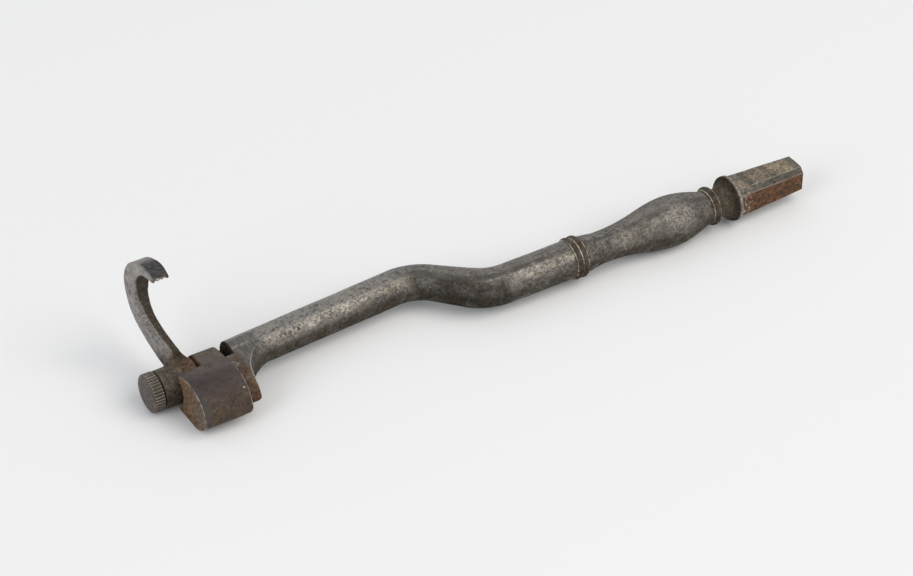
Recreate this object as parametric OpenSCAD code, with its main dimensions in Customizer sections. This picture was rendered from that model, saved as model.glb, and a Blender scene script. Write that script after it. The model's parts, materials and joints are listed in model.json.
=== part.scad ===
// Dental key: a cranked steel bar with a turned handle, a bolster, a hinged claw and a thumbscrew.
// Lies as it does on a table: +X runs from the claw end to the tang, +Y away from the bolster's nose.

/* [Tang and flange] */
// Length of the square tang beyond its flange
tang_len = 18; // [12:0.1:26]
// Width of the tang across its flats at the flange
tang_root_w = 8.2; // [7.2:0.1:8.4]
// Width of the tang across its flats at its end
tang_end_w = 7; // [5:0.1:7.4]
// Bevel on the four long corners of the tang
tang_bevel = 1.2; // [0.6:0.1:1.6]
// Diameter of the flange that a cross handle seats on
flange_d = 10.8; // [10.2:0.1:12]
// Thickness of the flange's rim
flange_t = 0.9; // [0.6:0.1:1.8]
// Length from the rear ring to the face of the flange
neck_len = 5.3; // [4.4:0.1:7]
// Diameter of the neck at its thinnest
neck_d = 6.6; // [5.6:0.1:7.4]

/* [Turned handle] */
// Diameter of the rear ring
rear_ring_d = 9.2; // [8.4:0.1:10]
// Width of the rear ring
rear_ring_w = 1.9; // [1.2:0.1:2.6]
// Length of the baluster between the two rings
baluster_len = 34.4; // [26:0.1:46]
// Largest diameter of the baluster, which lies on the table
belly_d = 11.8; // [11:0.1:13]
// Distance of the belly from the front ring
belly_at = 24.2; // [20:0.1:24.6]
// Smallest diameter of the baluster's waist
waist_d = 7.4; // [6.8:0.1:8.4]
// Distance of the waist from the front ring
waist_at = 5.4; // [3:0.1:9]
// Diameter of the baluster at the front ring
baluster_front_d = 8.5; // [8:0.1:9.2]
// Diameter of the baluster at the rear ring
baluster_rear_d = 7.4; // [6.8:0.1:8.4]
// Diameter over the two beads of the front ring
collar_d = 9.9; // [9.6:0.1:11]
// Width of the front ring
collar_w = 3.3; // [2.4:0.1:4.4]
// Diameter of the spigots that join the turned pieces
spigot_d = 4.6; // [3.6:0.1:5]
// Length of each spigot inside the baluster
spigot_len = 8; // [5:0.1:11]

/* [Shank] */
// Diameter of the bar on the handle side of the crank
upper_bar_d = 8.9; // [8:0.1:9.2]
// Length of the straight bar from the front ring to the crank
upper_bar_len = 16.5; // [10:0.1:26]
// Diameter of the bar on the claw side of the crank
lower_bar_d = 8.1; // [7.2:0.1:8.8]
// Length of the straight bar from the crank to the foot's face
lower_bar_len = 45.4; // [36:0.1:56]
// Angle that the bar turns through at the crank
crank_angle = 43; // [38:1:48]
// Bend radius on the handle side of the crank
crank_upper_r = 11.2; // [9:0.1:14]
// Bend radius on the claw side of the crank
crank_lower_r = 11.7; // [9:0.1:14]
// Length of the taper between the two bends
crank_mid_len = 8.1; // [6:0.1:11]
// Angle that the lower bar closes back towards the handle's line
lower_splay = 3.6; // [2:0.1:5]

/* [Foot and bolster] */
// Thickness of the foot's flange behind the bolster
foot_t = 2.6; // [1.8:0.1:3.2]
// Step from the bolster's nose in to the foot's nose
foot_step = 0.6; // [0.2:0.1:0.9]
// Step from the bolster's toe in to the foot's toe
foot_toe_step = 1.8; // [0.8:0.1:2.2]
// Height of the foot's underside above the table
foot_lift = 1.2; // [0.6:0.1:1.6]
// Radius of the hollow between the foot's flange and the bar
foot_fillet_r = 10.4; // [7:0.1:11.4]
// Width of the oil notch that opens onto the screw behind the lug
oil_notch_w = 2.2; // [1:0.1:2.6]
// Reach of the oil notch in front of the screw's axis
oil_notch_front = 2.6; // [1.8:0.1:3]
// Length of the bolster along the bar
bolster_len = 11.6; // [10.4:0.1:15]
// Height of the bolster above its flat base
bolster_h = 10.5; // [10:0.1:11.5]
// Reach of the bolster's nose from the screw's axis
bolster_reach = 15.5; // [14.5:0.1:18]
// Radius of the bolster's rounded top
bolster_r = 7.2; // [6.8:0.1:7.8]
// Distance from the bolster's nose back to the edge of its flat base
bolster_toe_back = 4.8; // [3.6:0.1:5.4]
// Height on the nose at which the toe's curve begins
bolster_toe_up = 3.6; // [2.6:0.1:4]
// Radius of the toe's curve
bolster_toe_r = 9.8; // [8:0.1:14]
// Diameter of the lug that the screw passes through
lug_d = 9.2; // [8.8:0.1:10]
// Length of the lug
lug_len = 5.6; // [4:0.1:6]
// Reach of the lug's flat base behind the screw's axis
lug_heel = 1.6; // [0.8:0.1:2.2]
// Diameter of the two dowels that key the bolster to the foot
dowel_d = 2; // [1.4:0.1:2.2]
// Length of each dowel inside the bolster
dowel_len = 4; // [2.5:0.1:5]
// Length of each dowel inside the foot
dowel_seat = 1.5; // [1:0.1:1.7]

/* [Claw] */
// Diameter of the claw's knuckle
knuckle_d = 8.7; // [8:0.1:8.8]
// Length of the claw's knuckle
knuckle_len = 8.7; // [8.4:0.1:11]
// Gap between the knuckle and the bolster's lug
knuckle_gap = 0.7; // [0.3:0.1:1.2]
// Width of the claw's arm along the screw
arm_w = 3.3; // [2.4:0.1:4]
// Width of the arm where it meets the knuckle
arm_base_w = 5.4; // [4:0.1:5.4]
// Height over the knuckle at which the arm's flare ends
arm_flare = 5; // [3:0.1:6]
// Width of the claw's toothed tip
tip_w = 4; // [3.6:0.1:5]
// Thickness of the arm where it leaves the knuckle
arm_base_t = 4.2; // [3.6:0.1:4.6]
// Thickness of the arm at its thinnest
arm_t = 3.6; // [3:0.1:4.4]
// Thickness of the claw at the back of its hook
hook_t = 5.2; // [4:0.1:6]
// Thickness of the claw where its tip begins
tip_root_t = 1.4; // [1:0.1:1.8]
// Thickness of the claw at its toothed edge
tip_t = 0.4; // [0.3:0.1:0.8]
// Distance from the screw's axis to the start of the arm's curve
arm_start = 5.4; // [5:0.1:5.8]
// Radius of the long curve of the arm
arm_curve_r = 35; // [30:1:42]
// Radius of the arm's rise to the hook
arm_rise_r = 8.2; // [7:0.1:10]
// Radius of the curve over to the tip
hook_r = 9.2; // [7.5:0.1:10]
// Straight length of the tip
tip_len = 2.8; // [2:0.1:4]
// Number of notches that leave the tip's teeth
tooth_notches = 3; // [2:1:3]
// Radius of each notch
notch_r = 0.4; // [0.2:0.02:0.42]
// Distance of each notch's middle from the tip's edge
notch_in = 0.25; // [0:0.05:0.35]

/* [Thumbscrew] */
// Diameter of the thumbscrew's head
head_d = 8.9; // [8.8:0.1:9.2]
// Height of the head's rim above the table
head_lift = 0.3; // [0.1:0.1:0.6]
// Thickness of the thumbscrew's head
head_t = 2.7; // [2.5:0.1:4.5]
// Width of the knurled band on the head
knurl_w = 2; // [1:0.1:2.2]
// Number of flutes in the knurled band
knurl_count = 36; // [24:1:44]
// Radius of each flute
knurl_r = 0.24; // [0.1:0.02:0.26]
// Diameter of the plain stem that the claw turns on
stem_d = 4.4; // [3.8:0.1:4.8]
// Diameter of the screw's threaded end
thread_d = 3.2; // [2.4:0.1:3.6]
// Length of the threaded end inside the foot
thread_len = 8; // [5:0.1:10]
// Diameter of the washer under the head
washer_d = 6.6; // [5.6:0.1:7.6]
// Thickness of the washer under the head
washer_t = 0.3; // [0.2:0.05:0.6]

/* [Fits] */
// Radial clearance of the stem, the thread and the washer's hole
run_clear = 0.05; // [0.02:0.01:0.08]
// Clearance between faces that turn against each other
face_clear = 0.03; // [0.02:0.01:0.1]
// Radial gap in the brazed spigots and the dowel holes
seat_gap = 0.02; // [0.01:0.01:0.05]
// Radial room around the knuckle in the bolster's pocket
pocket_clear = 0.7; // [0.3:0.1:1]

/* [Hidden] */

$fn = 96;
overlap = 0.5;
bend_proud = 0.02;
baluster_steps = 48;
claw_steps = 10;
face_steps = 8;
neck_steps = 16;
steel_grey = "#6b6862";
steel_dark = "#4c4543";
steel_worn = "#7d7a75";
steel_brown = "#5d5247";

// Heights above the table
axis_z = belly_d / 2;
pivot_z = head_d / 2 + head_lift;

// Working frame: x = 0 at the foot's face, y = 0 on the handle's axis, z = 0 on the table
bend_a = crank_upper_r * [-sin(crank_angle), 1 - cos(crank_angle)];
mid_run = crank_mid_len * [-cos(crank_angle), sin(crank_angle)];
bend_b = crank_lower_r * [-(sin(crank_angle) + sin(lower_splay)), cos(lower_splay) - cos(crank_angle)];
lower_run = lower_bar_len * [-cos(lower_splay), -sin(lower_splay)];
crank_run = bend_a + mid_run + bend_b + lower_run;
crank_x = -crank_run.x;
pivot_y = crank_run.y;
collar_x = crank_x + upper_bar_len;
baluster_x = collar_x + collar_w;
rear_ring_x = baluster_x + baluster_len;
neck_x = rear_ring_x + rear_ring_w;
flange_x = neck_x + neck_len;
tang_end_x = flange_x + tang_len;

// Stations of the claw end, from the foot's face towards the head of the screw
arm_front = 0.2;
lug_x = -lug_len;
knuckle_x1 = lug_x - knuckle_gap;
knuckle_x0 = knuckle_x1 - knuckle_len;
washer_x0 = knuckle_x0 - face_clear - washer_t;
head_x1 = washer_x0 - face_clear;
head_x0 = head_x1 - head_t;
arm_x0 = -bolster_len - arm_front;

// Bolster in the plane across the bar: its top is one arc, its toe another
nose_y = pivot_y - bolster_reach;
bolster_c = [nose_y + bolster_r, bolster_h - bolster_r];
toe_chord = [bolster_toe_back, bolster_toe_up];
toe_depth = sqrt(pow(bolster_toe_r, 2) - pow(norm(toe_chord) / 2, 2));
toe_c = [nose_y, 0] + toe_chord / 2 + toe_depth * [bolster_toe_up, bolster_toe_back] / norm(toe_chord);
pocket_r = knuckle_d / 2 + pocket_clear;
pocket_mouth = knuckle_d / 3;
dowel_back = [4.4, 9.4];
dowel_lift = [0.4, 1.6];

// Centre line of the claw in the plane across the bar, measured from the screw's axis
root_angle = 82;
arm_angle = 70;
arm_heading = 2;
rise_heading = 20;
hook_heading = 98;
tip_heading = 180;
arm_s = arm_start * [cos(arm_angle), sin(arm_angle)];
rise_s = arm_s + turn_run(arm_curve_r, arm_heading, rise_heading);
hook_s = rise_s + turn_run(arm_rise_r, rise_heading, hook_heading);
tip_s = hook_s + turn_run(hook_r, hook_heading, tip_heading);
tip_e = tip_s + tip_len * [cos(tip_heading), sin(tip_heading)];
claw_back_y = pivot_y + max([for (s = claw_line()) claw_edge(s, -1).x]);
claw_top_z = pivot_z + max([for (s = claw_line()) claw_edge(s, -1).y]);

// The origin lies on the table under the middle of the key's outline
shift = [-(head_x0 + tang_end_x) / 2, -(nose_y + claw_back_y) / 2, 0];

// Step along a left-hand curve of radius r from one heading to another
function turn_run(r, from, to) = r * [sin(to) - sin(from), cos(from) - cos(to)];

// Blend from a to b that starts and ends level
function ease(a, b, t) = a + (b - a) * (1 - cos(180 * max(0, min(1, t)))) / 2;

// Places a flat outline, drawn as (y, z), so that it is extruded along +X
module along_x(from, length) {
    translate([from, 0, 0])
        rotate([90, 0, 90])
            linear_extrude(length)
                children();
}

// Turns an outline, drawn as (x, radius), about a line along X
module turned(y, z) {
    translate([0, y, z])
        rotate([0, 90, 0])
            rotate_extrude()
                rotate(90)
                    mirror([0, 1])
                        children();
}

module bar_x(d, from, to, y = 0, z = axis_z) {
    translate([from, y, z])
        rotate([0, 90, 0])
            cylinder(d = d, h = to - from);
}

// Straight length of bar between two places in plan, let into the bend at each end
module bar_run(from, to, d1, d2) {
    run = to - from;
    translate([from.x, from.y, axis_z])
        rotate([0, 90, atan2(run.y, run.x)])
            translate([0, 0, -overlap])
                cylinder(d1 = d1, d2 = d2, h = norm(run) + 2 * overlap);
}

// Bent length of bar about a centre in plan, a hair thicker than the straights let into it
module bar_bend(centre, r, d, from, turn) {
    translate([centre.x, centre.y, axis_z])
        rotate(from)
            rotate_extrude(angle = turn)
                translate([r, 0])
                    circle(d = d + 2 * bend_proud);
}

// Bar of the shank from the front ring, round the crank and on to the foot's face
module cranked_bar() {
    a0 = [crank_x, 0];
    a1 = a0 + bend_a;
    b0 = a1 + mid_run;
    b1 = b0 + bend_b;
    bar_x(upper_bar_d, crank_x - overlap, collar_x);
    bar_bend(a0 + [0, crank_upper_r], crank_upper_r, upper_bar_d, 270 - crank_angle, crank_angle);
    bar_run(a1, b0, upper_bar_d, lower_bar_d);
    bar_bend(b0 - crank_lower_r * [sin(crank_angle), cos(crank_angle)], crank_lower_r, lower_bar_d,
             90 - crank_angle, crank_angle + lower_splay);
    bar_run(b1, [0, pivot_y], lower_bar_d, lower_bar_d);
}

// Rounded nose and toe, drawn in by a step and lifted off the table, with a web up to a given corner
// and a base back to the heel
module nose_outline(step, toe_step, lift, web, heel) {
    intersection() {
        translate([nose_y, lift])
            square([2 * bolster_reach, 2 * bolster_h]);
        union() {
            intersection() {
                translate(bolster_c)
                    circle(bolster_r - step);
                translate(toe_c)
                    circle(bolster_toe_r - toe_step);
            }
            polygon([[bolster_c.x, 0], [heel, 0], web, [bolster_c.x, bolster_h - step]]);
        }
    }
}

// Outline of the foot: the nose carried over into the round of the bar
module foot_outline() {
    web = [pivot_y - lower_bar_d / 6, axis_z + 0.45 * lower_bar_d];
    nose_outline(foot_step, foot_toe_step, foot_lift, web, web.x);
}

// Foot: a thin flange that sweeps into the bar by a hollow turned about the bar's own axis
module foot() {
    bite = 0.15;
    flare_r = lower_bar_d / 2 + foot_fillet_r - bite;
    flare_x = foot_t + foot_fillet_r - flare_r * sin(lower_splay);
    along_x(0, foot_t)
        foot_outline();
    intersection() {
        along_x(0, flare_x)
            foot_outline();
        translate([0, pivot_y, 0])
            rotate(lower_splay)
                turned(0, axis_z)
                    difference() {
                        square([flare_x, flare_r]);
                        translate([flare_x, flare_r])
                            circle(foot_fillet_r);
                    }
    }
}

// Space in front of the foot's face, which the bolster fills
module face_cut() {
    translate([-lower_bar_d, nose_y, 0])
        cube([lower_bar_d, 2 * bolster_reach, 2 * bolster_h]);
}

// Notch across the end of the bar, from its top down to the screw
module oil_notch() {
    translate([-overlap, pivot_y - oil_notch_front, pivot_z + thread_d / 4])
        cube([oil_notch_w + overlap, oil_notch_front + lower_bar_d, axis_z + lower_bar_d]);
}

module dowel_set(d, from, to) {
    for (i = [0:len(dowel_back) - 1])
        bar_x(d, from, to, nose_y + dowel_back[i], pivot_z + dowel_lift[i]);
}

// Cranked bar with its foot, its tapped end, its oil notch and the spigot for the handle
module shank() {
    color(steel_grey)
    translate(shift)
    difference() {
        union() {
            cranked_bar();
            foot();
            bar_x(spigot_d, collar_x - overlap, baluster_x + spigot_len);
        }
        face_cut();
        bar_x(thread_d + 2 * run_clear, -overlap, thread_len + face_clear, pivot_y, pivot_z);
        oil_notch();
        dowel_set(dowel_d + 2 * seat_gap, -overlap, dowel_seat);
    }
}

// Row of half-round beads of a turned ring, drawn as (x, radius)
module beads_outline(width, crest_r, count) {
    bead_r = width / count / 2;
    bore_r = spigot_d / 2 + seat_gap;
    translate([0, bore_r])
        square([width, crest_r - bead_r - bore_r]);
    for (i = [0:count - 1])
        translate([(2 * i + 1) * bead_r, crest_r - bead_r])
            circle(bead_r);
}

// Ring of two beads between the bar and the baluster
module collar_ring() {
    color(steel_worn)
    translate(shift)
    translate([collar_x, 0, 0])
    turned(0, axis_z)
        beads_outline(collar_w, collar_d / 2, 2);
}

// Ring of one bead between the baluster and the neck
module rear_ring() {
    color(steel_worn)
    translate(shift)
    translate([rear_ring_x, 0, 0])
    turned(0, axis_z)
        beads_outline(rear_ring_w, rear_ring_d / 2, 1);
}

// Radius of the baluster at a distance from the front ring
function baluster_r(x) =
    x < waist_at ? ease(baluster_front_d, waist_d, x / waist_at) / 2 :
    x < belly_at ? ease(waist_d, belly_d, pow((x - waist_at) / (belly_at - waist_at), 1.2)) / 2 :
    (baluster_rear_d + (belly_d - baluster_rear_d)
        * cos(90 * (x - belly_at) / (baluster_len - belly_at))) / 2;

// Turned grip with a waist and a belly, bored for a spigot at each end
module baluster() {
    bore_d = spigot_d + 2 * seat_gap;
    bore_len = spigot_len + face_clear;
    stations = [for (i = [0:baluster_steps]) baluster_len * i / baluster_steps];
    color(steel_grey)
    translate(shift)
    translate([baluster_x, 0, 0])
    difference() {
        turned(0, axis_z)
            polygon(concat([for (x = stations) [x, baluster_r(x)]], [[baluster_len, 0], [0, 0]]));
        bar_x(bore_d, -overlap, bore_len);
        bar_x(bore_d, baluster_len - bore_len, baluster_len + overlap);
    }
}

// Slab along X that tapers from one width to another, turned about the handle's axis
module taper_slab(root_w, end_w, angle) {
    rotate([angle, 0, 0])
        linear_extrude(2 * flange_d, center = true)
            polygon([[0, -root_w / 2], [tang_len, -end_w / 2], [tang_len, end_w / 2], [0, root_w / 2]]);
}

// Square tang with bevelled corners
module tang() {
    root_bevel_w = sqrt(2) * (tang_root_w - tang_bevel);
    end_bevel_w = sqrt(2) * (tang_end_w - tang_bevel);
    translate([flange_x, 0, axis_z])
        intersection() {
            taper_slab(tang_root_w, tang_end_w, 0);
            taper_slab(tang_root_w, tang_end_w, 90);
            taper_slab(root_bevel_w, end_bevel_w, 45);
            taper_slab(root_bevel_w, end_bevel_w, -45);
        }
}

// Radius of the neck at a share of its way to the flange's rim: hollow at first, rounding over into the rim
function neck_r(share) = ease(neck_d, flange_d, pow(share, 2)) / 2;

// Hollowed neck, flange and tang in one piece, with a spigot into the baluster
module tail_tang() {
    flare_len = neck_len - flange_t;
    shares = [for (i = [0:neck_steps]) i / neck_steps];
    color(steel_brown)
    translate(shift)
    union() {
        translate([neck_x, 0, 0])
        turned(0, axis_z)
            polygon(concat(
                [for (s = shares) [flare_len * s, neck_r(s)]],
                [[neck_len, flange_d / 2], [neck_len, 0], [0, 0]]));
        bar_x(spigot_d, rear_ring_x - spigot_len, neck_x + overlap);
        tang();
    }
}

// Block with a rounded nose, a flat base, a pocket for the claw's knuckle and a lug for the screw
module bolster() {
    lug_top = pivot_z + lug_d / 2;
    color(steel_dark)
    translate(shift)
    difference() {
        union() {
            along_x(-bolster_len, bolster_len)
                nose_outline(0, 0, 0, [pivot_y, lug_top], pivot_y + lug_heel);
            intersection() {
                bar_x(lug_d, lug_x, 0, pivot_y, pivot_z);
                translate([lug_x, nose_y, 0])
                    cube([lug_len, 2 * bolster_reach, 2 * lug_d]);
            }
        }
        bar_x(2 * pocket_r, -bolster_len - overlap, lug_x, pivot_y, pivot_z);
        translate([-bolster_len - overlap, pivot_y - pocket_mouth, -overlap])
            cube([bolster_len - lug_len + overlap, lug_d, 2 * bolster_h]);
        bar_x(stem_d + 2 * run_clear, lug_x - overlap, overlap, pivot_y, pivot_z);
        dowel_set(dowel_d + 2 * seat_gap, -dowel_len - face_clear, overlap);
    }
}

// Two dowels between the bolster and the foot
module bolster_dowels() {
    color(steel_worn)
    translate(shift)
        dowel_set(dowel_d, -dowel_len, dowel_seat - face_clear);
}

// Places along one curve of the claw's centre line: point, heading and thickness
function claw_curve(from, r, h0, h1, t0, t1) =
    [for (i = [0:claw_steps])
        let (h = h0 + (h1 - h0) * i / claw_steps)
        [from + turn_run(r, h0, h), h, t0 + (t1 - t0) * i / claw_steps]];

// Whole centre line of the claw, from inside the knuckle to the toothed edge
function claw_line() = concat(
    [[knuckle_d / 3 * [cos(root_angle), sin(root_angle)], arm_heading, knuckle_d / 4]],
    claw_curve(arm_s, arm_curve_r, arm_heading, rise_heading, arm_base_t, arm_t),
    claw_curve(rise_s, arm_rise_r, rise_heading, hook_heading, arm_t, hook_t),
    claw_curve(hook_s, hook_r, hook_heading, tip_heading, hook_t, tip_root_t),
    [[tip_e, tip_heading, tip_t]]
);

// Point on one side of the claw at a place on its centre line
function claw_edge(s, side) = s[0] + side * s[2] / 2 * [-sin(s[1]), cos(s[1])];

// Outline of the arm and hook, from the screw's axis
module claw_outline() {
    line = claw_line();
    polygon(concat(
        [for (s = line) claw_edge(s, -1)],
        [for (i = [len(line) - 1:-1:0]) claw_edge(line[i], 1)]));
}

// Side view of the claw, drawn as (x, z): slim along the arm, wider at the tip
module claw_side() {
    hook_z = pivot_z + hook_s.y - hook_r / 2;
    tip_z = pivot_z + tip_s.y;
    steps = [for (i = [0:claw_steps]) i / claw_steps];
    polygon(concat(
        [[arm_x0 + arm_w, 0]],
        [for (t = steps) [arm_x0 + ease(arm_w, tip_w, t), hook_z + (tip_z - hook_z) * t]],
        [[arm_x0 + tip_w, claw_top_z], [arm_x0, claw_top_z], [arm_x0, 0]]));
}

// Flare of the arm's root, drawn as (x, radius): broad at the knuckle, drawn in along the arm
module claw_root() {
    inner_w = arm_w - overlap;
    steps = [for (i = [0:claw_steps]) i / claw_steps];
    translate([arm_x0, 0])
        polygon(concat(
            [[inner_w, knuckle_d / 4], [arm_base_w, knuckle_d / 4]],
            [for (t = steps)
                [inner_w + (arm_base_w - inner_w) * pow(1 - t, 2), knuckle_d / 2 + arm_flare * t]]));
}

// Hook on a knuckle that turns about the screw, with a notched tip
module claw() {
    tooth_pitch = tip_w / (tooth_notches + 1);
    color(steel_worn)
    translate(shift)
    difference() {
        union() {
            bar_x(knuckle_d, knuckle_x0, knuckle_x1, pivot_y, pivot_z);
            intersection() {
                along_x(arm_x0 - overlap, knuckle_len)
                    translate([pivot_y, pivot_z])
                        claw_outline();
                union() {
                    translate([0, claw_back_y + overlap, 0])
                        rotate([90, 0, 0])
                            linear_extrude(claw_back_y - nose_y)
                                claw_side();
                    turned(pivot_y, pivot_z)
                        claw_root();
                }
            }
        }
        bar_x(stem_d + 2 * run_clear, knuckle_x0 - overlap, knuckle_x1 + overlap, pivot_y, pivot_z);
        for (i = [1:tooth_notches])
            translate([arm_x0 + tooth_pitch * i, pivot_y + tip_e.x + notch_in, pivot_z + tip_e.y])
                cylinder(r = notch_r, h = 4 * tip_t, center = true);
    }
}

// Washer between the knuckle and the head of the screw
module thrust_washer() {
    color(steel_dark)
    translate(shift)
    difference() {
        bar_x(washer_d, washer_x0, washer_x0 + washer_t, pivot_y, pivot_z);
        bar_x(stem_d + 2 * run_clear, washer_x0 - overlap, washer_x0 + washer_t + overlap, pivot_y, pivot_z);
    }
}

// Depth of the head's face behind its middle, at a share of the head's radius
function face_depth(share) = (head_t - knurl_w) * (1 - pow(1 - pow(share, 3), 1 / 3));

// Outline of the screw's head, drawn as (x, radius): a face that rounds over into a band
module head_outline() {
    shares = [for (i = [0:face_steps]) sin(30 + 60 * i / face_steps)];
    polygon(concat(
        [[0, 0], [0, head_d / 5]],
        [for (s = shares) [face_depth(s), s * head_d / 2]],
        [[head_t, head_d / 2], [head_t, 0]]));
}

// Thumbscrew: knurled head, plain stem and threaded end in one piece
module thumbscrew() {
    color(steel_brown)
    translate(shift)
    difference() {
        union() {
            translate([head_x0, 0, 0])
                turned(pivot_y, pivot_z)
                    head_outline();
            bar_x(stem_d, head_x1 - overlap, -face_clear, pivot_y, pivot_z);
            bar_x(thread_d, -overlap, thread_len, pivot_y, pivot_z);
        }
        for (i = [0:knurl_count - 1])
            translate([0, pivot_y, pivot_z])
                rotate([360 * (i + 0.5) / knurl_count, 0, 0])
                    bar_x(2 * knurl_r, head_x0 - overlap, head_x1 + overlap / 2, 0, -head_d / 2);
    }
}

shank();
collar_ring();
baluster();
rear_ring();
tail_tang();
bolster();
bolster_dowels();
claw();
thrust_washer();
thumbscrew();
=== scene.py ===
"""Looks of the dental key: worn and pitted steel, lying on a pale studio floor."""

import json
import math

import bpy
from mathutils import Matrix, Vector, noise


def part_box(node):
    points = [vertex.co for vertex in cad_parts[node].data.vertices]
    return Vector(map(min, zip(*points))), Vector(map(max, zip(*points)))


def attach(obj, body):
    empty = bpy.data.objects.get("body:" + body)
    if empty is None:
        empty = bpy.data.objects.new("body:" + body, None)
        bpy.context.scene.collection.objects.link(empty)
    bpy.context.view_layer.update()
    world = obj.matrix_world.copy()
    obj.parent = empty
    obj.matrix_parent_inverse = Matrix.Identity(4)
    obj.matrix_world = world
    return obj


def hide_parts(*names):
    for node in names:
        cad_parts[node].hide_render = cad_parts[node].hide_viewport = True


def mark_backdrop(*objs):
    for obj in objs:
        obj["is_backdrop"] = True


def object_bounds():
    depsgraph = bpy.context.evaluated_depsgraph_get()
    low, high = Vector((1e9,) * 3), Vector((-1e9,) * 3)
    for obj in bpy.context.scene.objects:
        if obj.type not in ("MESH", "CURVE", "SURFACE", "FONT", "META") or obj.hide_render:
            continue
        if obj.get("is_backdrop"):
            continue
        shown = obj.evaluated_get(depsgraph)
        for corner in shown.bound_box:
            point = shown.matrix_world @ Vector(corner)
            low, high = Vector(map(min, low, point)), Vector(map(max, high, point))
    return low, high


MM = 0.001

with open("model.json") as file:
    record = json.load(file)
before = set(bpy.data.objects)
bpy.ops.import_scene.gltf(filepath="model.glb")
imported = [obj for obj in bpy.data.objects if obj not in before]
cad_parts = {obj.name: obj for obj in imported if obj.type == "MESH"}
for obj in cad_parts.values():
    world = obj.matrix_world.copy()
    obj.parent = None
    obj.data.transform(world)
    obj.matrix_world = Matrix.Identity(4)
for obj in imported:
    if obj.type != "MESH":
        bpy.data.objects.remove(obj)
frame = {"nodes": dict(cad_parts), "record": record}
cad_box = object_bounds()
BODIES = frame["record"]["behaviour"]["bodies"]
BODY_OF = {node: body for body, nodes in BODIES.items() for node in nodes}


def box_mm(node):
    """Lowest and highest corner of a CAD node, in millimetres."""
    low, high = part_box(node)
    return Vector(low) / MM, Vector(high) / MM


def middle_mm(node):
    """Middle of a CAD node's box, in millimetres."""
    low, high = box_mm(node)
    return (low + high) / 2


# Points on the axes of the handle and the screw, and the flange's face toward the tang, in millimetres

HANDLE = middle_mm("rear_ring")
SCREW = middle_mm("thrust_washer")
TANG_LEN = 18.0
FLANGE_X = box_mm("tail_tang")[1].x - TANG_LEN


# Shader graphs

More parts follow.
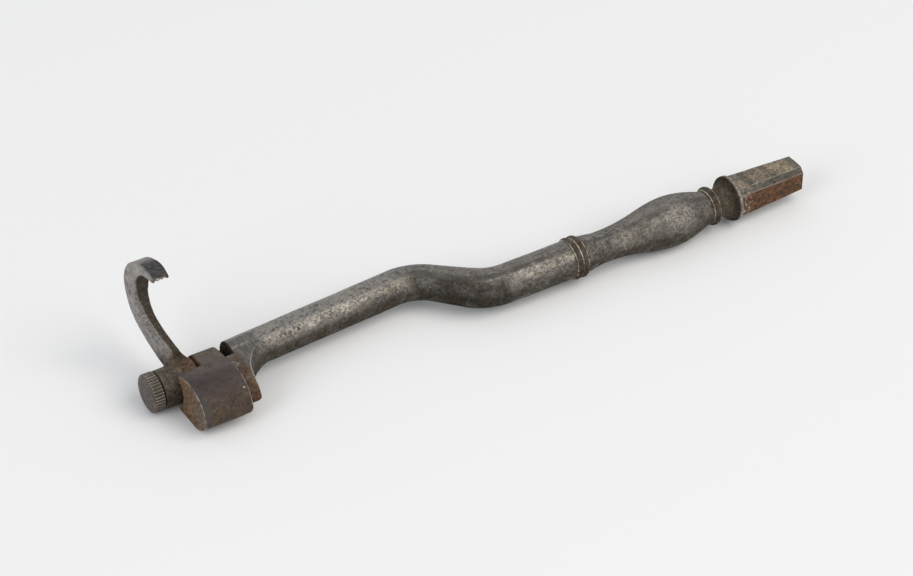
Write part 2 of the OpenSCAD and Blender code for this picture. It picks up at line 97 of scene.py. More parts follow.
class Steel:
    """One procedural steel, built up in layers.

    Patterns are laid out in millimetres of the part's own frame."""

    CLOUD_SIZE = 6.0
    MOTTLE_SIZE = 1.1
    MOTTLE_DEPTH = 0.1
    GRAIN_SIZE = 0.65
    GRAIN_DEPTH = 0.035
    CROWD_SIZE = 3.2
    BLOTCH_SIZE = 0.7

    def __init__(self, name, dark, mid, light, rough, metal=0.85, shine=0.5, speckled=0.6):
        self.material = bpy.data.materials.new(name)
        self.material.use_nodes = True
        self.tree = self.material.node_tree
        self.tree.nodes.clear()
        spot = self.add("ShaderNodeTexCoord")
        to_mm = self.add("ShaderNodeVectorMath", operation="SCALE")
        to_mm.inputs["Scale"].default_value = 1 / MM
        self.join(spot.outputs["Object"], to_mm.inputs[0])
        self.place = to_mm.outputs[0]
        self.dark = dark

        cloud = self.noise(self.CLOUD_SIZE, detail=3.0)
        mottle = self.noise(self.MOTTLE_SIZE, detail=6.0, rough=0.65, warp=0.4)
        grain = self.noise(self.GRAIN_SIZE, detail=3.0, rough=0.65)
        tone = self.math("ADD", self.all(cloud, 0.45), self.all(mottle, 0.55))
        self.colour = self.mix(self.step(tone, 0.36, 0.52), dark, mid)
        self.colour = self.mix(self.step(tone, 0.5, 0.68), self.colour, light)
        self.colour = self.mix(self.step(grain, 0.52, 0.66, 0, speckled), self.colour, light)
        self.colour = self.mix(self.step(grain, 0.48, 0.34, 0, speckled), self.colour, dark)
        self.rough = self.step(mottle, 0.3, 0.7, rough + 0.08, rough - 0.08)
        self.metal = metal
        self.shine = shine
        self.heights = [(mottle, self.MOTTLE_DEPTH), (grain, self.GRAIN_DEPTH)]

    def add(self, kind, **settings):
        node = self.tree.nodes.new(kind)
        for key, value in settings.items():
            setattr(node, key, value)
        return node

    def join(self, source, target):
        self.tree.links.new(source, target)

    def feed(self, socket, value):
        """Puts a number, a colour or another node's output on a socket."""
        if isinstance(value, bpy.types.NodeSocket):
            self.join(value, socket)
        elif isinstance(value, tuple) and len(value) == 3 and socket.type == "RGBA":
            socket.default_value = (*value, 1)
        else:
            socket.default_value = value

    # Patterns and places

    def noise(self, size, detail, rough=0.55, warp=0.0, stretch=(1, 1, 1)):
        """Cloudy pattern with blotches about size millimetres wide.

        They are longer along an axis of low stretch."""
        spread = self.add("ShaderNodeVectorMath", operation="MULTIPLY")
        spread.inputs[1].default_value = stretch
        self.join(self.place, spread.inputs[0])
        node = self.add("ShaderNodeTexNoise")
        node.inputs["Scale"].default_value = 1 / size
        node.inputs["Detail"].default_value = detail
        node.inputs["Roughness"].default_value = rough
        node.inputs["Distortion"].default_value = warp
        self.join(spread.outputs[0], node.inputs["Vector"])
        return node.outputs["Fac"]

    def spots(self, size):
        """Distance from the middle of the nearest of many scattered spots."""
        node = self.add("ShaderNodeTexVoronoi")
        node.inputs["Scale"].default_value = 1 / size
        self.join(self.place, node.inputs["Vector"])
        return node.outputs["Distance"]

    def along(self, axis):
        """Millimetres along one axis of the part's frame."""
        node = self.add("ShaderNodeSeparateXYZ")
        self.join(self.place, node.inputs[0])
        return node.outputs[axis]

    def facing(self, axis):
        """How far the surface faces along one axis, from -1 to 1."""
        geometry = self.add("ShaderNodeNewGeometry")
        node = self.add("ShaderNodeSeparateXYZ")
        self.join(geometry.outputs["Normal"], node.inputs[0])
        return node.outputs[axis]

    def radius(self, centre):
        """Millimetres from a line along X through a point."""
        flat = self.add("ShaderNodeVectorMath", operation="MULTIPLY_ADD")
        flat.inputs[1].default_value = (0, 1, 1)
        flat.inputs[2].default_value = (0, -centre.y, -centre.z)
        self.join(self.place, flat.inputs[0])
        node = self.add("ShaderNodeVectorMath", operation="LENGTH")
        self.join(flat.outputs[0], node.inputs[0])
        return node.outputs["Value"]

    def near(self, place, reach):
        """Share that is 1 around a point and fades out at a distance from it."""
        node = self.add("ShaderNodeVectorMath", operation="DISTANCE")
        node.inputs[1].default_value = place
        self.join(self.place, node.inputs[0])
        return self.step(node.outputs["Value"], reach, 0.3 * reach)

    def sharpness(self):
        """Over 0.5 on ridges and under 0.5 in hollows."""
        return self.add("ShaderNodeNewGeometry").outputs["Pointiness"]

    def painted(self, name):
        """Value painted on the points of the mesh."""
        return self.add("ShaderNodeAttribute", attribute_name=name).outputs["Fac"]

    def patches(self, size, share, soft=0.12):
        """Ragged patches, about size millimetres wide, that cover about a share of the surface."""
        level = 0.66 - 0.32 * share
        cloud = self.noise(size, detail=6.0, rough=0.6, warp=0.5)
        return self.step(cloud, level - soft / 2, level + soft / 2)

    # Arithmetic

    def step(self, value, low, high, out_low=0.0, out_high=1.0):
        """Smooth step of a value from one level to another, which may lie below the first."""
        node = self.add("ShaderNodeMapRange", interpolation_type="SMOOTHSTEP")
        self.feed(node.inputs["Value"], value)
        self.feed(node.inputs["From Min"], low)
        self.feed(node.inputs["From Max"], high)
        self.feed(node.inputs["To Min"], out_low)
        self.feed(node.inputs["To Max"], out_high)
        return node.outputs["Result"]

    def math(self, operation, a, b=0.0):
        node = self.add("ShaderNodeMath", operation=operation)
        self.feed(node.inputs[0], a)
        self.feed(node.inputs[1], b)
        return node.outputs[0]

    def all(self, first, *others):
        """Product of several shares."""
        for other in others:
            first = self.math("MULTIPLY", first, other)
        return first

    def between(self, value, low, high, soft):
        """Share that is 1 between two levels and fades out beyond them."""
        return self.all(self.step(value, low - soft, low), self.step(value, high + soft, high))

    def mix(self, factor, a, b):
        """Blend of two colours."""
        node = self.add("ShaderNodeMix", data_type="RGBA")
        self.feed(node.inputs["Factor"], factor)
        self.feed(node.inputs["A"], a)
        self.feed(node.inputs["B"], b)
        return node.outputs["Result"]

    # Layers

    def pit(self, size, share, depth=0.05):
        """Crowds of small dark pits over a share of the surface."""
        hole = self.step(self.spots(size), 0.42, 0.18)
        level = 0.62 - 0.3 * share
        crowd = self.step(self.noise(self.CROWD_SIZE, detail=4.0), level, level + 0.16)
        pitted = self.all(hole, crowd)
        bottom = tuple(0.45 * c for c in self.dark)
        self.colour = self.mix(self.all(pitted, 0.75), self.colour, bottom)
        self.rough = self.math("ADD", self.rough, self.all(pitted, 0.15))
        self.heights.append((self.math("SUBTRACT", 1.0, pitted), depth))

    def stain(self, colour, where, amount, dull=0.25):
        """Mottled colour over part of the surface, less metallic and less shiny: rust and grime, and also
        painted shade.
        """
        share = self.all(where, amount)
        lean = tuple(0.5 * c for c in colour)
        rich = tuple(1.45 * c for c in colour)
        blotches = self.step(self.noise(self.BLOTCH_SIZE, detail=5.0), 0.3, 0.7)
        self.colour = self.mix(share, self.colour, self.mix(blotches, lean, rich))
        self.rough = self.math("ADD", self.rough, self.all(share, dull))
        self.metal = self.math("SUBTRACT", self.metal, self.all(share, 0.6))
        self.shine = self.all(self.shine, self.math("SUBTRACT", 1.0, self.all(share, 0.75)))

    def tint(self, colour, where, amount):
        """Plain change of colour over part of the surface."""
        self.colour = self.mix(self.all(where, amount), self.colour, colour)

    def worn_ridges(self, colour, amount, low=0.53, high=0.6):
        """Change of colour where the surface is sharp."""
        self.tint(colour, self.step(self.sharpness(), low, high), amount)

    def tint_hollows(self, colour, amount, low=0.48, high=0.42):
        """Change of colour where the surface is hollow."""
        self.tint(colour, self.step(self.sharpness(), low, high), amount)

    def finish(self):
        """Material with all the layers."""
        shader = self.add("ShaderNodeBsdfPrincipled")
        output = self.add("ShaderNodeOutputMaterial")
        normal = None
        for height, depth in self.heights:
            bump = self.add("ShaderNodeBump")
            bump.inputs["Strength"].default_value = 1
            bump.inputs["Distance"].default_value = depth * MM
            self.join(height, bump.inputs["Height"])
            if normal is not None:
                self.join(normal, bump.inputs["Normal"])
            normal = bump.outputs["Normal"]
        self.feed(shader.inputs["Base Color"], self.colour)
        self.feed(shader.inputs["Metallic"], self.metal)
        self.feed(shader.inputs["Roughness"], self.rough)
        self.feed(shader.inputs["Specular IOR Level"], self.shine)
        self.join(normal, shader.inputs["Normal"])
        self.join(shader.outputs[0], output.inputs["Surface"])
        return self.material


# Colours, as linear light. Tones are the dark, middle and light colour of a steel.

STEEL_DARK = (0.08, 0.073, 0.066)
STEEL_LIGHT = (0.36, 0.335, 0.295)
STEEL_TONES = (STEEL_DARK, (0.18, 0.167, 0.152), STEEL_LIGHT)
PALE = (0.55, 0.51, 0.44)
BROWN = (0.085, 0.066, 0.05)
HOLLOW_TONE = (0.055, 0.044, 0.033)

# Bar and grip

COOL_SHEEN = (0.4, 0.378, 0.365)
OLIVE_FILM = (0.15, 0.123, 0.09)
UNDERSIDE_SHADE = (0.036, 0.029, 0.02)
CRANK_SHADE = (0.03, 0.025, 0.019)
BAR_TOP_SHEEN = (0.44, 0.42, 0.39)
GRIP_HIGHLIGHT = (0.4, 0.37, 0.325)
LOWER_BAR_SHADE = (0.05, 0.041, 0.03)

# Foot

FACET = (0.1, 0.092, 0.086)
SCRATCHES = (0.36, 0.34, 0.32)
FOOT_RUST = (0.068, 0.04, 0.026)
FOOT_ORANGE = (0.13, 0.07, 0.038)
NOSE_RUST = (0.085, 0.047, 0.028)
RECESS_SHADE = (0.03, 0.021, 0.016)

# Rings

RING_BROWN = (0.055, 0.04, 0.028)
RING_GROOVE = (0.025, 0.019, 0.014)
BRAZE = (0.55, 0.49, 0.36)

# Neck, flange and tang

TANG_TONES = ((0.085, 0.075, 0.06), (0.19, 0.17, 0.14), (0.34, 0.3, 0.24))
NECK_BROWN = (0.085, 0.067, 0.047)
FLANGE_SOOT = (0.03, 0.022, 0.017)
FLANGE_RIM = (0.27, 0.25, 0.22)
BEVEL_FILM = (0.05, 0.044, 0.037)
RESIDUE = (0.46, 0.36, 0.24)
ROOT_CRUST = (0.42, 0.33, 0.25)
TANG_RUST = (0.125, 0.064, 0.035)
TANG_RUST_DARK = (0.05, 0.03, 0.019)
TANG_ORANGE = (0.24, 0.11, 0.045)
TANG_EDGE = (0.33, 0.3, 0.255)

# Bolster

BOLSTER_TONES = ((0.04, 0.03, 0.029), (0.053, 0.04, 0.038), (0.076, 0.058, 0.053))
BOLSTER_TOP_LIGHT = (0.088, 0.07, 0.066)
BOLSTER_RUBBED = (0.17, 0.144, 0.136)
BOLSTER_BROWN = (0.08, 0.058, 0.036)
BOLSTER_ORANGE = (0.115, 0.068, 0.034)
BOLSTER_GREY = (0.07, 0.064, 0.064)
END_TAN = (0.155, 0.122, 0.094)
END_RUST = (0.17, 0.1, 0.056)
LUG_OLIVE = (0.115, 0.1, 0.074)
EDGE_LINE = (0.42, 0.385, 0.33)
CHIP = (0.5, 0.47, 0.43)

# Claw

CLAW_TONES = ((0.15, 0.138, 0.13), (0.3, 0.279, 0.263), (0.41, 0.382, 0.356))
CLAW_FILM = (0.12, 0.098, 0.077)
ROOT_BROWN = (0.072, 0.054, 0.037)
KNUCKLE_SHADE = (0.042, 0.03, 0.021)
KNUCKLE_RUST = (0.1, 0.056, 0.03)
INNER_BROWN_SHADE = (0.055, 0.043, 0.031)
TIP_BLUE = (0.052, 0.05, 0.053)
TEETH_BROWN = (0.1, 0.06, 0.034)
TEETH_PALE = (0.52, 0.45, 0.38)

# Screw

SCREW_TONES = ((0.066, 0.054, 0.046), (0.11, 0.092, 0.08), (0.155, 0.134, 0.117))
KNURL_HOLLOW_TONE = (0.026, 0.021, 0.015)
RIM_BROWN = (0.06, 0.05, 0.035)


# Braze lines of the two rings: distance from the ring's front and half the width, in millimetres

COLLAR_LINES = ((0.1, 0.05), (1.65, 0.1), (3.05, 0.14))
REAR_LINES = ((0.1, 0.02), (1.6, 0.1))

# Places of painted highlights on the grip: distance from its front and reach, in millimetres

HIGHLIGHT_PLACES = ((24.4, 6.0), (9.8, 4.5))

# Crusts on top of the tang: start and end beyond the flange, in millimetres, and strength

TANG_CRUSTS = ((5.5, 9.0, 0.8), (11.0, 15.5, 1.0))


def bar_steel(name, rough, metal=0.85, shade=1.0):
    """Pitted steel of the bar and the grip, with a painted cool reflection on top, a painted dark reflected
    band toward the front, and painted brown shade where it faces down.
    """
    tones = [tuple(shade * c for c in tone) for tone in STEEL_TONES]
    s = Steel(name, *tones, rough, metal)
    s.pit(0.55, 0.7)
    upward = s.facing("Z")
    # Painted reflection: a cool grey sheen where the bar faces up.
    crown = s.step(upward, 0.75, 0.98)
    s.tint(COOL_SHEEN, s.all(crown, s.patches(0.9, 0.6, 0.25)), 0.42)
    s.stain(OLIVE_FILM, s.patches(5.0, 0.45, 0.25), 0.35, dull=0.05)
    # Painted shade, brown, where the surface faces down.
    below = s.step(upward, 0.5, -0.05)
    s.stain(UNDERSIDE_SHADE, s.all(below, s.patches(3.0, 0.85, 0.35)), 0.85)
    # Painted reflection: a dark band on the side that faces a little to the front, above the highlight.
    reflected_dark_band = s.between(s.facing("Y"), -0.38, -0.24, 0.12)
    s.tint(STEEL_DARK, s.all(reflected_dark_band, s.patches(3.0, 0.75, 0.3)), 0.75)
    return s


def shank_steel():
    foot = box_mm("shank")[0].x
    crank_start = -14.0
    crank_end = 0.0
    s = bar_steel("shank_steel", rough=0.42)
    x = s.along("X")
    y = s.along("Y")
    z = s.along("Z")
    upward = s.facing("Z")

    # Painted shade darkens the crank, except along its top.
    crank = s.all(s.between(x, crank_start, crank_end, 5.0), s.step(upward, 0.98, 0.75))
    s.stain(CRANK_SHADE, s.all(crank, s.patches(5.0, 0.85, 0.35)), 0.85, dull=0.15)
    lower_bar = s.step(x, crank_start, crank_start - 8.0)
    # Painted sheen on the top of the lower bar.
    crown = s.all(lower_bar, s.step(upward, 0.8, 0.97))
    s.tint(BAR_TOP_SHEEN, s.all(crown, s.patches(0.8, 0.6, 0.25)), 0.6)
    # Painted shade, brownish, under the lower bar.
    below = s.all(lower_bar, s.step(upward, 0.5, 0.15))
    s.stain(LOWER_BAR_SHADE, s.all(below, s.patches(1.8, 0.8, 0.3)), 0.75)

    behind_lug = s.between(x, foot + 2.0, foot + 8.5, 1.0)
    facet = s.all(behind_lug, s.step(upward, 0.94, 0.99), s.step(z, 8.9, 9.2))
    s.tint(FACET, facet, 0.75)
    brushed = s.step(s.noise(0.35, detail=3.0, stretch=(1, 0.12, 1)), 0.46, 0.62)
    s.tint(SCRATCHES, s.all(facet, brushed), 0.42)
    bolster_side = s.all(s.step(x, foot + 4.2, foot + 1.6), s.step(y, SCREW.y - 1.5, SCREW.y - 4.5))
    s.stain(FOOT_RUST, s.all(bolster_side, s.patches(1.8, 0.9, 0.4)), 0.9)
    s.stain(FOOT_ORANGE, s.all(bolster_side, s.patches(1.3, 0.3, 0.2)), 0.6)
    nose = s.all(s.step(x, foot + 5.5, foot + 3.5), s.step(y, SCREW.y - 10.0, SCREW.y - 12.0))
    s.stain(NOSE_RUST, s.all(nose, s.step(z, 8.4, 6.8)), 0.85)
    shoulder = s.between(x, foot + 1.8, foot + 7.0, 0.5)
    crease = s.all(shoulder, s.step(y, -4.5, -6.5), s.step(z, 8.0, 8.6))
    s.tint(PALE, s.all(crease, s.step(s.sharpness(), 0.515, 0.545)), 0.8)
    # Painted shade in the recess beside the lug, at the bar's end.
    beside_lug = s.all(s.step(y, SCREW.y - 3.1, SCREW.y - 2.7), s.step(z, SCREW.z, 6.0))
    s.stain(RECESS_SHADE, s.all(beside_lug, s.step(x, foot + 2.6, foot + 2.35)), 0.92)
    s.tint_hollows(HOLLOW_TONE, 0.6)
    return s.finish()


def handle_steel():
    front = box_mm("baluster")[0].x
    s = bar_steel("handle_steel", rough=0.64, metal=0.6, shade=0.73)
    speckle = s.step(s.noise(0.6, detail=3.0, rough=0.7), 0.42, 0.58)
    # Painted highlights: two speckled light spots on the side of the grip toward the light.
    for along, reach in HIGHLIGHT_PLACES:
        painted_highlight = Vector((front + along, HANDLE.y - 4.0, HANDLE.z + 3.6))
        s.tint(GRIP_HIGHLIGHT, s.all(s.near(painted_highlight, reach), speckle), 0.5)
    s.worn_ridges(STEEL_LIGHT, 0.3)
    return s.finish()


def ring_steel(name, node, lines):
    """Dark turned ring with pale braze along a few lines."""
    front = box_mm(node)[0].x
    s = bar_steel(name, rough=0.45)
    s.stain(RING_BROWN, s.patches(2.5, 0.97, 0.4), 0.85)
    s.tint_hollows(RING_GROOVE, 0.9, 0.49, 0.45)
    lit = s.step(s.facing("Z"), -0.4, 0.5, 0.35, 1.0)
    for line, half in lines:
        on_line = s.between(s.along("X"), front + line - half, front + line + half, 0.1)
        s.stain(BRAZE, s.all(on_line, lit, s.patches(1.3, 0.6, 0.3)), 0.9, dull=0.0)
    return s.finish()


def tang_steel():
    """Dark neck and flange, and a tang with crusts on top, a dark bevel and a rusty front."""
    s = Steel("tang_steel", *TANG_TONES, rough=0.5)
    s.pit(0.6, 0.6, depth=0.08)
    x = s.along("X")
    upward = s.facing("Z")
    before = s.step(x, FLANGE_X - 0.4, FLANGE_X - 1.2)
    beyond = s.step(x, FLANGE_X - 0.1, FLANGE_X + 0.3)
    on_top = s.all(beyond, s.step(upward, 0.84, 0.95))
    on_bevel = s.all(beyond, s.between(upward, 0.55, 0.84, 0.08))
    in_front = s.all(beyond, s.step(s.facing("Y"), -0.78, -0.92))

    out = s.radius(HANDLE)
    s.stain(NECK_BROWN, before, 0.9)
    s.stain(FLANGE_SOOT, s.all(before, s.step(out, 3.5, 5.0)), 0.85)
    s.stain(BEVEL_FILM, s.all(on_bevel, s.patches(2.0, 0.9, 0.35)), 0.85, dull=0.0)
    crusts = 0.0
    for start, end, strength in TANG_CRUSTS:
        crust = s.between(x, FLANGE_X + start, FLANGE_X + end, 1.5)
        crusts = s.math("MAXIMUM", crusts, s.all(crust, strength))
    speckle = s.step(s.noise(0.4, detail=3.0, rough=0.6), 0.34, 0.6)
    s.stain(RESIDUE, s.all(on_top, crusts, speckle, s.patches(2.5, 0.7, 0.4)), 0.85, dull=0.1)
    root = s.step(x, FLANGE_X + 3.6, FLANGE_X + 1.2)
    s.stain(ROOT_CRUST, s.all(on_top, root, s.patches(1.8, 0.6, 0.2)), 0.75)

    s.stain(TANG_RUST, in_front, 0.95)
    s.stain(TANG_RUST_DARK, s.all(in_front, s.patches(2.2, 0.45, 0.3)), 0.45)
    s.stain(TANG_ORANGE, s.all(in_front, s.patches(1.2, 0.2, 0.2)), 0.5)
    rim = s.all(s.step(out, 5.0, 5.25), s.step(x, FLANGE_X - 1.0, FLANGE_X - 0.6))
    s.stain(FLANGE_RIM, s.all(rim, s.patches(1.6, 0.75, 0.3)), 0.8, dull=0.0)
    crud = s.all(beyond, s.step(x, FLANGE_X + 4.0, FLANGE_X + 1.0), s.patches(0.8, 0.3, 0.2))
    s.stain(PALE, s.all(crud, s.step(upward, 0.84, 0.6)), 0.75)
    upper_edge = s.between(upward, 0.82, 0.92, 0.05)
    lower_edge = s.between(upward, 0.2, 0.5, 0.1)
    edges = s.math("MAXIMUM", upper_edge, lower_edge)
    s.tint(TANG_EDGE, s.all(beyond, edges, s.patches(1.6, 0.7, 0.3)), 0.6)
    return s.finish()


def bolster_steel():
    """Dark steel, brown toward the table, with a rusty end and bright worn edges."""
    low, high = box_mm("bolster")
    s = Steel("bolster_steel", *BOLSTER_TONES, rough=0.66, metal=0.3, shine=0.3, speckled=0.35)
    s.heights = [(s.noise(1.6, detail=4.0), 0.02)]
    x = s.along("X")
    y = s.along("Y")
    upward = s.facing("Z")
    lower = s.step(s.along("Z"), 10.5, 5.5)
    # Painted light: the bolster lighter where it faces up.
    s.tint(BOLSTER_TOP_LIGHT, s.all(s.step(upward, 0.7, 0.95), s.patches(3.0, 0.7, 0.35)), 0.5)
    by_lug = s.step(y, SCREW.y - 9.5, SCREW.y - 4.5)
    s.tint(BOLSTER_RUBBED, s.all(by_lug, s.patches(2.0, 0.8, 0.4)), 0.55)
    s.stain(BOLSTER_BROWN, s.all(lower, s.patches(3.5, 0.8, 0.35)), 0.75, dull=0.0)
    s.stain(BOLSTER_ORANGE, s.all(lower, s.patches(1.4, 0.2, 0.2)), 0.5, dull=0.0)
    by_end = s.step(x, low.x + 2.6, low.x + 0.8)
    s.tint(BOLSTER_GREY, s.all(by_end, s.patches(3.0, 0.8, 0.4)), 0.6)

    end = s.step(s.facing("X"), -0.7, -0.95)
    s.stain(END_TAN, end, 0.8, dull=0.05)
    by_claw = s.all(end, s.step(y, -16.5, -10.5))
    s.stain(END_RUST, s.all(by_claw, s.patches(2.4, 0.85, 0.35)), 0.8, dull=0.1)
    # Olive on the lug, lighter where it faces up as painted light.
    lug = s.all(s.step(s.radius(SCREW), 6.0, 4.9), s.step(upward, 0.2, 0.6))
    s.stain(LUG_OLIVE, s.all(lug, s.patches(2.2, 0.95, 0.35)), 0.7, dull=0.0)
    side = s.step(s.math("ABSOLUTE", s.facing("X")), 0.95, 0.75)
    outside = s.all(side, s.step(y, SCREW.y - 2.5, SCREW.y - 9.0), s.patches(2.4, 0.6, 0.4))
    for edge, inward, amount in ((low.x, 1, 0.85), (high.x, -1, 0.7)):
        line = s.step(x, edge + 0.3 * inward, edge + 0.12 * inward)
        s.stain(EDGE_LINE, s.all(line, outside), amount, dull=-0.1)
    chip = Vector((high.x - 0.9, SCREW.y - 13.0, SCREW.z + 4.0))
    s.tint(CHIP, s.near(chip, 0.33), 0.7)
    return s.finish()


def claw_steel():
    """Filed grey steel, brown toward the knuckle, with the painted sides of the arm and the hook, and
    painted shade low on the knuckle and on the arm's inner side.
    """
    s = Steel("claw_steel", *CLAW_TONES, rough=0.5, metal=0.7, speckled=0.5)
    s.pit(0.6, 0.25, depth=0.04)
    s.stain(CLAW_FILM, s.patches(1.8, 0.22, 0.2), 0.65)
    out = s.radius(SCREW)
    s.stain(ROOT_BROWN, s.all(s.step(out, 10.0, 5.5), s.patches(2.0, 0.88, 0.35)), 0.9)
    knuckle = s.step(out, 6.5, 5.2)
    # Painted shade: the knuckle darker brown toward the table.
    s.stain(KNUCKLE_SHADE, s.all(knuckle, s.step(s.along("Z"), 9.0, 5.0)), 0.85)
    by_bolster = s.step(s.along("X"), Claw.arm_x + 0.5, Claw.arm_x + 2.5)
    s.stain(KNUCKLE_RUST, s.all(knuckle, by_bolster, s.patches(1.8, 0.7, 0.3)), 0.7)
    # Dark brown with painted shade on the side of the arm turned from the light.
    s.stain(INNER_BROWN_SHADE, s.painted("inner"), 0.95)
    s.stain(TIP_BLUE, s.painted("tip"), 0.95, dull=0.0)
    teeth = s.painted("teeth")
    s.stain(TEETH_BROWN, teeth, 0.8)
    s.stain(TEETH_PALE, s.all(teeth, s.patches(0.7, 0.25, 0.1)), 0.8)
    s.worn_ridges(PALE, 0.35, 0.54, 0.62)
    return s.finish()


def screw_steel():
    s = Steel("screw_steel", *SCREW_TONES, rough=0.48, metal=0.6, speckled=0.2)
    s.heights = [(s.noise(1.4, detail=4.0), 0.03)]
    s.stain(BROWN, s.patches(2.0, 0.25, 0.25), 0.6)
    s.tint_hollows(KNURL_HOLLOW_TONE, 0.8, 0.495, 0.46)
    upward = s.facing("Z")
    on_rim = s.step(s.radius(SCREW), 4.0, 4.4)
    s.tint(RIM_BROWN, s.all(on_rim, s.step(upward, 0.6, 0.2)), 0.4)
    # Painted highlight on the sharp ridges of the knurl, where they face up.
    painted_highlight = s.all(s.step(s.sharpness(), 0.515, 0.555), s.step(upward, 0.1, 0.8, 0.3, 1.0))
    s.tint(PALE, painted_highlight, 0.55)
    return s.finish()


def pin_steel():
    s = Steel("pin_steel", *STEEL_TONES, rough=0.4)
    s.stain(BROWN, s.patches(1.5, 0.2), 0.6)
    return s.finish()


# Worn meshes, shaped in millimetres

def link(obj):
    bpy.context.scene.collection.objects.link(obj)
    return obj


def evaluated_mesh(obj):
    graph = bpy.context.evaluated_depsgraph_get()
    return bpy.data.meshes.new_from_object(obj.evaluated_get(graph))


def clamp(value):
    return min(1.0, max(0.0, value))


def smooth_step(value, low, high):
    t = clamp((value - low) / (high - low))
    return t * t * (3 - 2 * t)


def worn(node, material, shape, voxel, soften, paint=None):
    """Piece that stands for a CAD node: remeshed, its edges softened in a few rounds, then shaped.

    shape gives the way a point moves, from its place and normal. paint maps the name of a painted
    value to a function of place and normal. No point leaves the box of the CAD nodes."""
    mesh = frame["nodes"][node].data.copy()
    mesh.transform(Matrix.Scale(1 / MM, 4))
    piece = link(bpy.data.objects.new("worn_" + node, mesh))
    remesh = piece.modifiers.new("Remesh", "REMESH")
    remesh.mode = "VOXEL"
    remesh.voxel_size = voxel
    smooth = piece.modifiers.new("Soften", "SMOOTH")
    smooth.factor = 0.5
    smooth.iterations = soften
    result = evaluated_mesh(piece)
    piece.modifiers.clear()
    spots = [(vertex.co.copy(), vertex.normal.copy()) for vertex in result.vertices]
    for name, value_at in (paint or {}).items():
        layer = result.attributes.new(name, "FLOAT", "POINT")
        layer.data.foreach_set("value", [value_at(*spot) for spot in spots])
    for vertex, (place, normal) in zip(result.vertices, spots):
        moved = (place + shape(place, normal)) * MM
        vertex.co = [min(max(c, low), high) for c, low, high in zip(moved, *cad_box)]
    result.materials.clear()
    result.materials.append(material)
    result.shade_smooth()
    piece.data = result
    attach(piece, BODY_OF[node])
    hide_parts(node)


def uneven(size, depth):
    """Shape of a hand-worked surface: low waves and shallow dents along the normal."""
    dent_size = 0.22 * size

    def shape(place, normal):
        wave = noise.noise(place / size)
        dent = min(0.0, noise.noise(place / dent_size) + 0.25)
        return normal * depth * (wave + 0.6 * dent)
    return shape


def bolster_shape():
    """Shape of the bolster, worn round at the corner of its nose beside the foot."""
    round_r = 2.4
    round_z = 5.2
    rear = box_mm("bolster")[1].x
    waves = uneven(5.0, 0.03)

    def shape(place, normal):
        at_nose = smooth_step(place.y, SCREW.y - 9.0, SCREW.y - 12.0)
        below = min(round_r, max(0.0, round_z - place.z)) * at_nose
        limit = rear - round_r + math.sqrt(round_r ** 2 - below ** 2)
        return waves(place, normal) + Vector((min(0.0, limit - place.x), 0, 0))
    return shape


class Claw:
    """Forged details of the claw: a ridge along the inside of its arm, and a bulging tip with stained teeth.

    Shares run from 0 to 1."""

    hook_centre = Vector((0, SCREW.y + 9.3, SCREW.z + 14.8))
    arm_x = box_mm("bolster")[0].x - 0.2
    arm_w = 3.3
    ridge_least_x = 0.25
    ridge_spread = 1.2
    ridge_slope = 0.45
    edge_y = SCREW.y + 6.0
    tip_z = box_mm("claw")[1].z - 2.2
    tip_len = 7.0
    bulge_h = 0.35
    bulge_w = 4.0
    waves = staticmethod(uneven(3.0, 0.05))

    @classmethod
    def from_screw(cls, place):
        """Distance from the screw's axis."""
        return math.hypot(place.y - SCREW.y, place.z - SCREW.z)

    @classmethod
    def arm_share(cls, place):
        """0 at the knuckle, 1 along the arm."""
        return smooth_step(cls.from_screw(place), 4.6, 6.0)

    @classmethod
    def inner_share(cls, place, normal):
        """1 on the side of the arm that faces the tooth."""
        inward = cls.hook_centre - place
        inward.x = 0
        return smooth_step(normal.dot(inward.normalized()), 0.25, 0.6) * cls.arm_share(place)

    @classmethod
    def ridge_x(cls, place):
        """Distance of the ridge from the arm's front, which shrinks toward the hook."""
        return cls.ridge_least_x + cls.ridge_spread * smooth_step(place.z, 24.0, 11.0)

    @classmethod
    def tip_share(cls, place):
        """1 over the flat end of the hook."""
        above = smooth_step(place.z, cls.tip_z - 2.0, cls.tip_z)
        return above * smooth_step(place.y, cls.edge_y + 8.5, cls.edge_y + 5.5)

    @classmethod
    def inner(cls, place, normal):
        """1 on the side of the ridge turned from the light, which gets dark brown with painted shade, down
        to the flare at the arm's root.
        """
        behind = smooth_step(place.x - cls.arm_x - cls.ridge_x(place), -0.1, 0.15)
        root = smooth_step(cls.from_screw(place), 14.0, 11.0)
        flare = smooth_step(normal.z, 0.1, 0.4) * root * cls.arm_share(place)
        return max(cls.inner_share(place, normal), flare) * behind

    @classmethod
    def tip(cls, place, normal):
        """1 on top of the hook's flat end, behind its front edge."""
        from_front = smooth_step(place.x - cls.arm_x, 0.2, 0.7)
        return cls.tip_share(place) * smooth_step(normal.z, 0.2, 0.5) * from_front

    @classmethod
    def teeth(cls, place, normal):
        """1 along the hook's edge."""
        above = smooth_step(place.z, cls.tip_z - 3.0, cls.tip_z - 2.0)
        return above * smooth_step(place.y, cls.edge_y + 0.8, cls.edge_y + 0.3)

    @classmethod
    def shape(cls, place, normal):
        """Way a point moves: up the ridge, out with the bulge, and with the waves of a forged surface."""
        across = place.x - cls.arm_x
        ridge = cls.ridge_x(place)
        rise = across / ridge if across < ridge else (cls.arm_w - across) / (cls.arm_w - ridge)
        raised = cls.ridge_slope * ridge * clamp(rise) * cls.inner_share(place, normal)
        along = clamp((place.y - cls.edge_y) / cls.tip_len)
        bulge = cls.bulge_h * cls.tip_share(place) * math.sin(math.pi * along)
        bulge = bulge * max(0.0, across / cls.bulge_w)
        return normal * raised + Vector((bulge, 0, 0)) + cls.waves(place, normal)


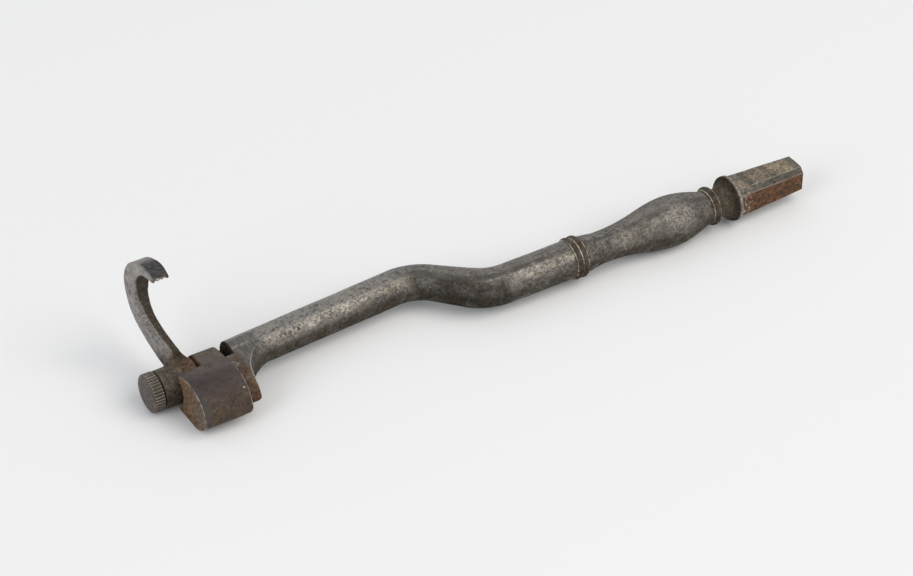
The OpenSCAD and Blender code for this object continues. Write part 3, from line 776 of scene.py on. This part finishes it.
collar_steel = ring_steel("collar_steel", "collar_ring", COLLAR_LINES)
rear_ring_steel = ring_steel("rear_ring_steel", "rear_ring", REAR_LINES)
claw_paint = {"inner": Claw.inner, "tip": Claw.tip, "teeth": Claw.teeth}

worn("shank", shank_steel(), uneven(7.0, 0.06), voxel=0.22, soften=4)
worn("collar_ring", collar_steel, uneven(3.0, 0.04), voxel=0.12, soften=3)
worn("baluster", handle_steel(), uneven(7.0, 0.05), voxel=0.22, soften=3)
worn("rear_ring", rear_ring_steel, uneven(3.0, 0.04), voxel=0.12, soften=3)
worn("tail_tang", tang_steel(), uneven(4.0, 0.06), voxel=0.18, soften=5)
worn("bolster", bolster_steel(), bolster_shape(), voxel=0.15, soften=3)
worn("claw", claw_steel(), Claw.shape, voxel=0.12, soften=3, paint=claw_paint)
worn("thumbscrew", screw_steel(), uneven(2.5, 0.02), voxel=0.1, soften=2)

plain_steel = pin_steel()
for hidden in ("bolster_dowels", "thrust_washer"):
    frame["nodes"][hidden].data.materials.clear()
    frame["nodes"][hidden].data.materials.append(plain_steel)


# Floor, light and camera, in metres

def studio_floor(half, colour):
    mesh = bpy.data.meshes.new("floor")
    corners = [(-half, -half, 0), (half, -half, 0), (half, half, 0), (-half, half, 0)]
    mesh.from_pydata(corners, [], [(0, 1, 2, 3)])
    material = bpy.data.materials.new("floor_paper")
    material.use_nodes = True
    shader = material.node_tree.nodes["Principled BSDF"]
    shader.inputs["Base Color"].default_value = (*colour, 1)
    shader.inputs["Roughness"].default_value = 0.9
    shader.inputs["Specular IOR Level"].default_value = 0.1
    mesh.materials.append(material)
    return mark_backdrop(link(bpy.data.objects.new("floor", mesh)))


def softbox(name, place, size, watts, colour=(1, 1, 1)):
    """Round soft light that faces the origin."""
    lamp = bpy.data.lights.new(name, "AREA")
    lamp.shape = "DISK"
    lamp.size = size
    lamp.energy = watts
    lamp.color = colour
    obj = link(bpy.data.objects.new(name, lamp))
    obj.location = place
    obj.rotation_euler = (-Vector(place)).to_track_quat("-Z", "Y").to_euler()


def studio_world(colour, strength):
    world = bpy.data.worlds.new("studio")
    world.use_nodes = True
    background = world.node_tree.nodes["Background"]
    background.inputs["Color"].default_value = (*colour, 1)
    background.inputs["Strength"].default_value = strength
    bpy.context.scene.world = world


def photo_camera(aim, azimuth, elevation, distance, lens, shift):
    """Camera that looks at a point from an azimuth, counted from straight in front, and an elevation."""
    a = math.radians(azimuth)
    e = math.radians(elevation)
    back = Vector((math.sin(a) * math.cos(e), -math.cos(a) * math.cos(e), math.sin(e)))
    data = bpy.data.cameras.new("photo_camera")
    data.sensor_width = 36
    data.lens = lens
    data.shift_x, data.shift_y = shift
    data.clip_start = 0.01
    obj = link(bpy.data.objects.new("photo_camera", data))
    obj.location = Vector(aim) + distance * back
    obj.rotation_euler = (-back).to_track_quat("-Z", "Y").to_euler()
    bpy.context.scene.camera = obj


studio_floor(half=1.5, colour=(0.887, 0.896, 0.915))
studio_world(colour=(0.97, 0.985, 1.0), strength=0.56)
softbox("key_light", place=(0.8, -1.06, 1.5), size=1.8, watts=21.0, colour=(1.0, 0.95, 0.87))
softbox("fill_light", place=(-1.6, -0.4, 1.0), size=1.2, watts=9.0)
photo_camera(
    aim=(-0.0120134, -0.0113082, 0),
    azimuth=-31.446,
    elevation=38.947,
    distance=0.75,
    lens=133.08,
    shift=(0.0101, 0.042),
)
bpy.context.scene.view_settings.view_transform = "Standard"
